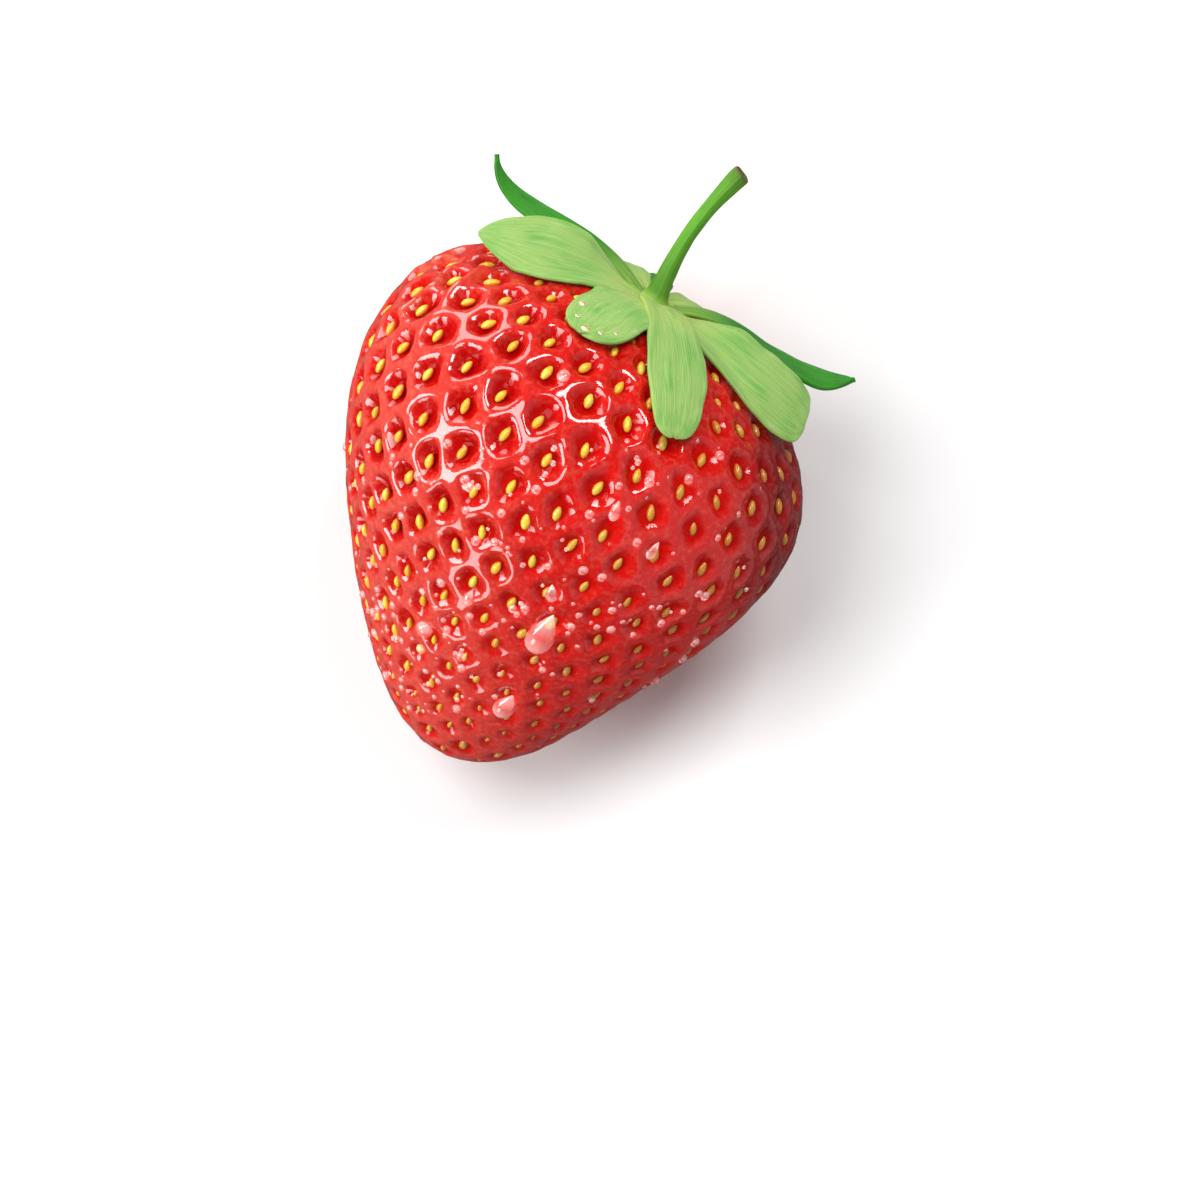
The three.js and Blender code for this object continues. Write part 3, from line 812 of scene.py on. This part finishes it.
def leaf_material(name, root, body, dark, pale, vein_count):
    """Soft leaf tissue: colour from the root out, pale veins, darker patches and a fine nap."""
    made, tree, shader = new_material(
        name, Subsurface_Weight=0.12, Subsurface_Scale=0.0006, Subsurface_Radius=(0.5, 1.0, 0.2),
        Sheen_Weight=0.05, Sheen_Roughness=0.5, Specular_IOR_Level=0.25,
    )
    flat = add_node(tree, "UVMap", {}, uv_map="UVMap").outputs["UV"]
    lines = veins(tree, flat, vein_count, 4.5)
    colour = mix(tree, spread(tree, kept_value(tree, "blade_out"), 0.0, 0.3), root, body)
    colour = mix(tree, spread(tree, lines["Mottle"], 0.45, 0.65, 0, 0.75), colour, dark)
    colour = mix(tree, spread(tree, lines["Streak"], 0.45, 0.75, 0, 0.6), colour, pale)
    colour = mix(tree, maths(tree, "MULTIPLY", lines["Vein"], 0.3), colour, pale)
    tree.links.new(colour, shader.inputs["Base Color"])
    pores = noise_node(tree, place_node(tree), 5000, 2)
    tree.links.new(spread(tree, pores, 0.3, 0.7, 0.5, 0.68), shader.inputs["Roughness"])
    streaks_up = maths(tree, "MULTIPLY", lines["Streak"], 1.4)
    nap = maths(tree, "ADD", streaks_up, maths(tree, "MULTIPLY", pores, 0.5))
    rough_up(tree, shader, nap, 0.6, 0.00012)
    return made


sepal_green = leaf_material(
    "sepal_green",
    root=(0.38, 0.52, 0.09),
    body=(0.27, 0.46, 0.105),
    dark=(0.12, 0.38, 0.05),
    pale=(0.42, 0.58, 0.22),
    vein_count=9,
)
for blade in SEPALS:
    sepal = make_blade("sepal_leaf_" + blade["name"], blade)
    sepal.data.materials.append(sepal_green)
    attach(sepal, "root")
    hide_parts("sepal_" + blade["name"])

# ---------------------------------------------------------------- bracts
# The outer leaves of the calyx, set between the sepals. Three are narrow and dark, and two of these
# curl up off the fruit like horns. The one in front is short, and as broad and pale as a sepal.

BRACT = dict(SEPAL, half=1.2, widest=0.4, root=0.8, taper=1, curl=3, wave=0.05)
BRACTS = (
    dict(BRACT, name="front", azimuth=252, length=9.9, rise=0.3, half=3.2, widest=0.6, taper=0.36, root=3.6,
         lift=-0.08),
    dict(BRACT, name="left", azimuth=160, length=14, bank=-30, half=1.15, widest=0.55, lift=0.15,
         path=((2.75, 0.8), (7.5, 1.8), (16.1, 1.8), (15.7, 7.9))),
    dict(BRACT, name="back", azimuth=93, length=10, rise=1),
    dict(BRACT, name="right", azimuth=31, length=14.8, bank=10, sweep=-8, half=1.8, widest=0.75, root=0.7,
         lift=0.15, path=((2.75, 0.8), (8, 2.2), (16, 1.1), (16.9, 7.3))),
)

bract_green = leaf_material(
    "bract_green",
    root=(0.26, 0.42, 0.06),
    body=(0.024, 0.24, 0.008),
    dark=(0.008, 0.14, 0.006),
    pale=(0.07, 0.34, 0.018),
    vein_count=5,
)
for blade in BRACTS:
    bract = make_blade("bract_leaf_" + blade["name"], blade)
    front = blade["name"] == "front"
    bract.data.materials.append(sepal_green if front else bract_green)
    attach(bract, "root")
    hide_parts("bract_" + blade["name"])

# ---------------------------------------------------------------- dew
# Drops of clean water standing on the skin and on the front bract. The large ones have begun to run, and
# have a round foot and a thin tail. The rest are low domes. Their foot is painted white as painted light.

TURNED = math.radians(24.2)
RIGHT = Vector((math.cos(TURNED), math.sin(TURNED), 0))
UP = Vector((-math.sin(TURNED), math.cos(TURNED), 0))
LARGE_DROPS = (  # millimetres right of and above the crown, seen from overhead; width, length
    (-9.7, -28.8, 3.1, 5.0),
    (-13.0, -35.2, 2.4, 3.3),
    (-0.4, -21.8, 1.2, 1.8),
    (-3.5, -18.6, 1.2, 1.9),
    (-8.8, -25.3, 1.4, 1.9),
    (-20.0, -28.6, 1.6, 1.6),
    (-16.0, -25.9, 1.3, 1.7),
    (-7.9, -7.2, 1.2, 1.2),
)
BRACT_DROPS = (  # the same, on the front bract
    (-6.3, -0.7, 0.8, 0.8),
    (-6.6, -1.8, 0.6, 0.6),
    (-5.7, -2.8, 0.9, 0.9),
    (-4.5, -3.3, 0.7, 0.7),
    (-3.3, -3.4, 0.6, 0.6),
)
SMALL_DROPS = 240
SMALL_DROP_REACH = (-42, -14)  # how far down from the crown they stand
SMALL_DROP_TURN = (-0.25, 0.7)  # where round the fruit, in radians from the top, and how widely spread
SMALL_DROP_SIZES = (0.35, 0.65)  # the smallest, and how much larger the largest are
DROP_HEIGHT = 0.72  # as a share of the width
DROP_NARROWING = 0.75  # of a long drop's tail
DROP_FOOTING = 1.4  # how far round a drop, at least, the skin is that it is levelled on
DROP_RAISE = 0.1  # how far its middle is above that, as a share of the width
OVERHEAD = 0.08  # where the lines start that find the places of the drops
OUTSIDE = 0.06
LARGE_SEGMENTS = 20
SMALL_SEGMENTS = 8

# Painted light on the drops: white at the foot, and pink-red in the middle, the red skin painted in as if
# seen through the water.
DROP_PAINTED_LIGHT = ((0.2, (1.0, 0.96, 0.90)), (0.5, (0.85, 0.28, 0.24)), (0.75, (1.0, 0.85, 0.80)))


def ground_of(piece):
    """A piece's points, and a tree that finds where a line meets it."""
    points = vertices_of(piece.data)
    faces = [tuple(face.vertices) for face in piece.data.polygons]
    return points, BVHTree.FromPolygons([Vector(point) for point in points.tolist()], faces)


def drop_on(ground, start, way, width, length, segments):
    """One drop where a line from a start meets the ground, resting on the ridges round it."""
    points, tree = ground
    hit = tree.ray_cast(start, way)[0]
    if hit is None:
        return None
    near = points[np.linalg.norm(points - np.array(hit), axis=1) < max(width, DROP_FOOTING) * MM]
    centred = near - near.mean(axis=0)
    out = Vector(np.linalg.svd(centred, full_matrices=False)[2][2])
    if out.dot(way) > 0:
        out.negate()
    select_none()
    bpy.ops.mesh.primitive_uv_sphere_add(segments=segments, ring_count=segments // 2 + 1, radius=0.5)
    drop = bpy.context.object
    shape = vertices_of(drop.data)
    tail = np.clip(shape[:, 0] + 0.5, 0, 1)
    keep_values(drop.data, "drop_tail", tail)
    if length > 1.2 * width:
        shape[:, 1:] *= (1 - DROP_NARROWING * tail**1.5)[:, None]
    shape *= (length, width, width * DROP_HEIGHT)
    foot = near.mean(axis=0) + np.array(out) * MM * (DROP_RAISE * width)
    uphill = CROWN_AT * MM - Vector(foot)
    uphill = (uphill - out * uphill.dot(out)).normalized()
    axes = np.array(Matrix((uphill, out.cross(uphill), out)).transposed())
    move_vertices(drop.data, shape @ axes.T * MM + foot)
    return drop


drops = []
on_flesh = ground_of(flesh)
on_bract = ground_of(bpy.data.objects["bract_leaf_front"])
for ground, rows in ((on_flesh, LARGE_DROPS), (on_bract, BRACT_DROPS)):
    for right, up, width, length in rows:
        start = (CROWN_AT + RIGHT * right + UP * up) * MM
        start.z = OVERHEAD
        drops.append(drop_on(ground, start, Vector((0, 0, -1)), width, length, LARGE_SEGMENTS))
scatter = random.Random(5)
for _ in range(SMALL_DROPS):
    middle = Vector(laid_down(np.array([[0, 0, scatter.uniform(*SMALL_DROP_REACH)]]))[0])
    turn = scatter.gauss(*SMALL_DROP_TURN)
    way = (Vector((0, 0, -1)) * math.cos(turn) - RIGHT * math.sin(turn)).normalized()
    size = SMALL_DROP_SIZES[0] + SMALL_DROP_SIZES[1] * scatter.random() ** 2.5
    length = size * scatter.uniform(1, 1.15)
    drops.append(drop_on(on_flesh, middle - way * OUTSIDE, way, size, length, SMALL_SEGMENTS))
dew = joined([drop for drop in drops if drop], "dew")

water, tree, shader = new_material(
    "water", Roughness=0.0, IOR=1.33, Transmission_Weight=0.65, Coat_Weight=1.0, Coat_IOR=1.7,
    Coat_Roughness=0.03,
)
# the drops' colour is painted light: a white foot, and the skin's red painted into the middle
painted_drop_light = ramp(tree, kept_value(tree, "drop_tail"), *DROP_PAINTED_LIGHT)
tree.links.new(painted_drop_light, shader.inputs["Base Color"])
rough_up(tree, shader, noise_node(tree, place_node(tree), 900, 1), 0.1, 0.0001)
lamps_pass = add_node(tree, "MixShader", {0: add_node(tree, "LightPath", {}).outputs["Is Shadow Ray"]})
tree.links.new(shader.outputs[0], lamps_pass.inputs[1])
tree.links.new(add_node(tree, "BsdfTransparent", {}).outputs[0], lamps_pass.inputs[2])
tree.links.new(lamps_pass.outputs[0], tree.nodes["Material Output"].inputs["Surface"])
dew.data.materials.append(water)

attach(dew, "root")

# ---------------------------------------------------------------- floor, light and camera
# A plain pale table under the fruit, a soft window and a low lamp to its left, weak soft lamps all
# round, and a camera straight overhead, turned so that the stalk points up and to the right.

CAMERA_ABOVE = 0.4
SENSOR_WIDTH = 36
PICTURE_PIXELS = 1200
MM_PER_PIXEL = 0.0871
CROWN_PIXEL = (655, 300)  # where the crown comes in the picture, from its left and its top
LAMP_AIM = Vector((0, 0, 0.02))

select_none()
bpy.ops.mesh.primitive_plane_add(size=4)
floor = bpy.context.object
floor.name = "floor"
table_white, tree, shader = new_material("table_white", Roughness=0.6)
clouds = noise_node(tree, place_node(tree), 3)
cloudy = ramp(tree, clouds, (0.3, (0.90, 0.90, 0.90)), (0.7, (0.93, 0.93, 0.93)))
tree.links.new(cloudy, shader.inputs["Base Color"])
floor.data.materials.append(table_white)
floor.visible_glossy = False  # as through a polarising filter, so that the wet skin keeps its depth

world = bpy.data.worlds.new("room")
bpy.context.scene.world = world
world.use_nodes = True
world.node_tree.nodes["Background"].inputs["Color"].default_value = (1, 1, 1, 1)
world.node_tree.nodes["Background"].inputs["Strength"].default_value = 0.1


def soft_light(name, way, distance, size, watts):
    """A square lamp at a distance from the fruit, along a way given right, up and overhead."""
    lamp = bpy.data.objects.new(name, bpy.data.lights.new(name, "AREA"))
    bpy.context.collection.objects.link(lamp)
    towards = (RIGHT * way[0] + UP * way[1] + Vector((0, 0, way[2]))).normalized()
    lamp.location = towards * distance + LAMP_AIM
    lamp.rotation_mode = "QUATERNION"
    lamp.rotation_quaternion = towards.to_track_quat("Z", "Y")
    lamp.data.size = size
    lamp.data.energy = watts


soft_light("window", (-0.85, -0.15, 0.42), 0.5, 0.24, 1.75)
soft_light("low", (-0.65, -0.72, 0.12), 0.5, 0.16, 0.42)
soft_light("edge", (-0.38, 0.92, 0.12), 0.5, 0.28, 1.2)
soft_light("back", (0.3, 0.55, 0.8), 0.6, 0.2, 1.8)
soft_light("ceiling", (-0.35, 0.25, 0.9), 0.9, 0.45, 4.8)
soft_light("fill", (0.75, -0.45, 0.4), 0.8, 1.6, 2.4)

camera = bpy.data.objects.new("camera", bpy.data.cameras.new("camera"))
bpy.context.collection.objects.link(camera)
crown = CROWN_AT * MM
right_of_middle = CROWN_PIXEL[0] - PICTURE_PIXELS // 2
above_middle = PICTURE_PIXELS // 2 - CROWN_PIXEL[1]
aim = crown - RIGHT * right_of_middle * MM_PER_PIXEL * MM - UP * above_middle * MM_PER_PIXEL * MM
camera.data.sensor_width = SENSOR_WIDTH
camera.data.lens = SENSOR_WIDTH * CAMERA_ABOVE / (PICTURE_PIXELS * MM_PER_PIXEL * MM)
camera.matrix_world = (
    Matrix.Translation(Vector((aim.x, aim.y, crown.z + CAMERA_ABOVE)))
    @ Matrix((RIGHT, UP, Vector((0, 0, 1)))).transposed().to_4x4()
)
bpy.context.scene.camera = camera
bpy.context.scene.view_settings.view_transform = "Standard"
